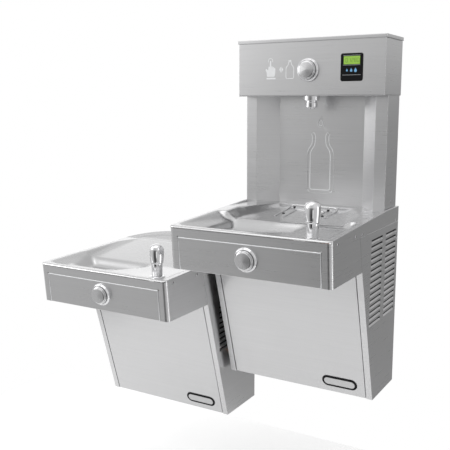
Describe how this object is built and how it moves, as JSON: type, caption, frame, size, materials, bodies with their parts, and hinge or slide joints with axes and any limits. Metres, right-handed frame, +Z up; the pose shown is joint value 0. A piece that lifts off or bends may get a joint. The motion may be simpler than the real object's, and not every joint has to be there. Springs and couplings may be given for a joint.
{
  "type": "bottle filling station",
  "caption": "Wall-hung stainless steel drinking fountain in two heights, with a push-button bottle filler standing on the taller unit.",
  "frame": {"origin": "centre of the taller unit's hanger bolts, in the plane of the wall", "axes": "+X to the right along the wall, +Y into the wall, +Z up"},
  "size_m": [0.9526, 0.5307, 1.182],
  "materials": {
    "stainless": "brushed",
    "chrome": "polished",
    "galvanised": "matte zinc",
    "black_parts": "gloss",
    "display": "lit green",
    "circuit_board": "satin",
    "copper": "bare copper",
    "white_plastic": "matte",
    "screws": "satin"
  },
  "bodies": {
    "station": {"filler_head": "stainless", "filler_cap": "stainless", "filler_column": "stainless", "filler_wall_plate": "galvanised", "filler_button_ring": "chrome", "filler_spring": "galvanised", "filler_valve": "white_plastic", "nozzle": "chrome", "display_bezel": "black_parts", "display_window": "display", "display_board": "circuit_board", "tall_basin": "stainless", "tall_apron": "stainless", "tall_apron_panel": "stainless", "tall_bubbler": "chrome", "tall_bubbler_flange": "chrome", "tall_button_ring": "chrome", "tall_spring": "galvanised", "tall_valve": "white_plastic", "tall_strainer": "chrome", "tall_trap": "white_plastic", "tall_side_left": "stainless", "tall_side_right": "stainless", "tall_front_panel": "stainless", "tall_base_pan": "galvanised", "tall_back_rail": "galvanised", "tall_hanger": "galvanised", "low_basin": "stainless", "low_apron": "stainless", "low_apron_panel": "stainless", "low_bubbler": "chrome", "low_bubbler_flange": "chrome", "low_button_ring": "chrome", "low_spring": "galvanised", "low_valve": "white_plastic", "low_strainer": "chrome", "low_trap": "white_plastic", "low_side_left": "stainless", "low_side_right": "stainless", "low_front_panel": "stainless", "low_base_pan": "galvanised", "low_back_rail": "galvanised", "low_hanger": "galvanised", "compressor": "black_parts", "condenser": "galvanised", "condenser_plates": "galvanised", "fan_shroud": "galvanised", "fan_motor": "black_parts", "chiller_tank": "white_plastic", "filter_head": "white_plastic", "filter_cartridge": "white_plastic", "control_box": "galvanised", "water_tubes": "copper", "casing_screws": "screws"},
    "filler_push": {"filler_button": "chrome"},
    "tall_push": {"tall_button": "chrome"},
    "low_push": {"low_button": "chrome"},
    "fan": {"fan_blade": "white_plastic"}
  },
  "joints": [
    {"name": "filler_button_press", "type": "slide", "parent": "station", "child": "filler_push", "axis": [0, 1, 0], "range_m": [0, 0.005], "stiffness_N_per_m": 300, "springref_m": -0.004, "deforming": ["filler_spring"]},
    {"name": "tall_button_press", "type": "slide", "parent": "station", "child": "tall_push", "axis": [0, 0.9962, 0.0872], "range_m": [0, 0.005], "stiffness_N_per_m": 300, "springref_m": -0.004, "deforming": ["tall_spring"]},
    {"name": "low_button_press", "type": "slide", "parent": "station", "child": "low_push", "axis": [0, 0.9962, 0.0872], "range_m": [0, 0.005], "stiffness_N_per_m": 300, "springref_m": -0.004, "deforming": ["low_spring"]},
    {"name": "fan_spin", "type": "hinge", "parent": "station", "child": "fan", "pos_m": [0.17, -0.09, -0.14], "axis": [1, 0, 0], "continuous": true}
  ]
}
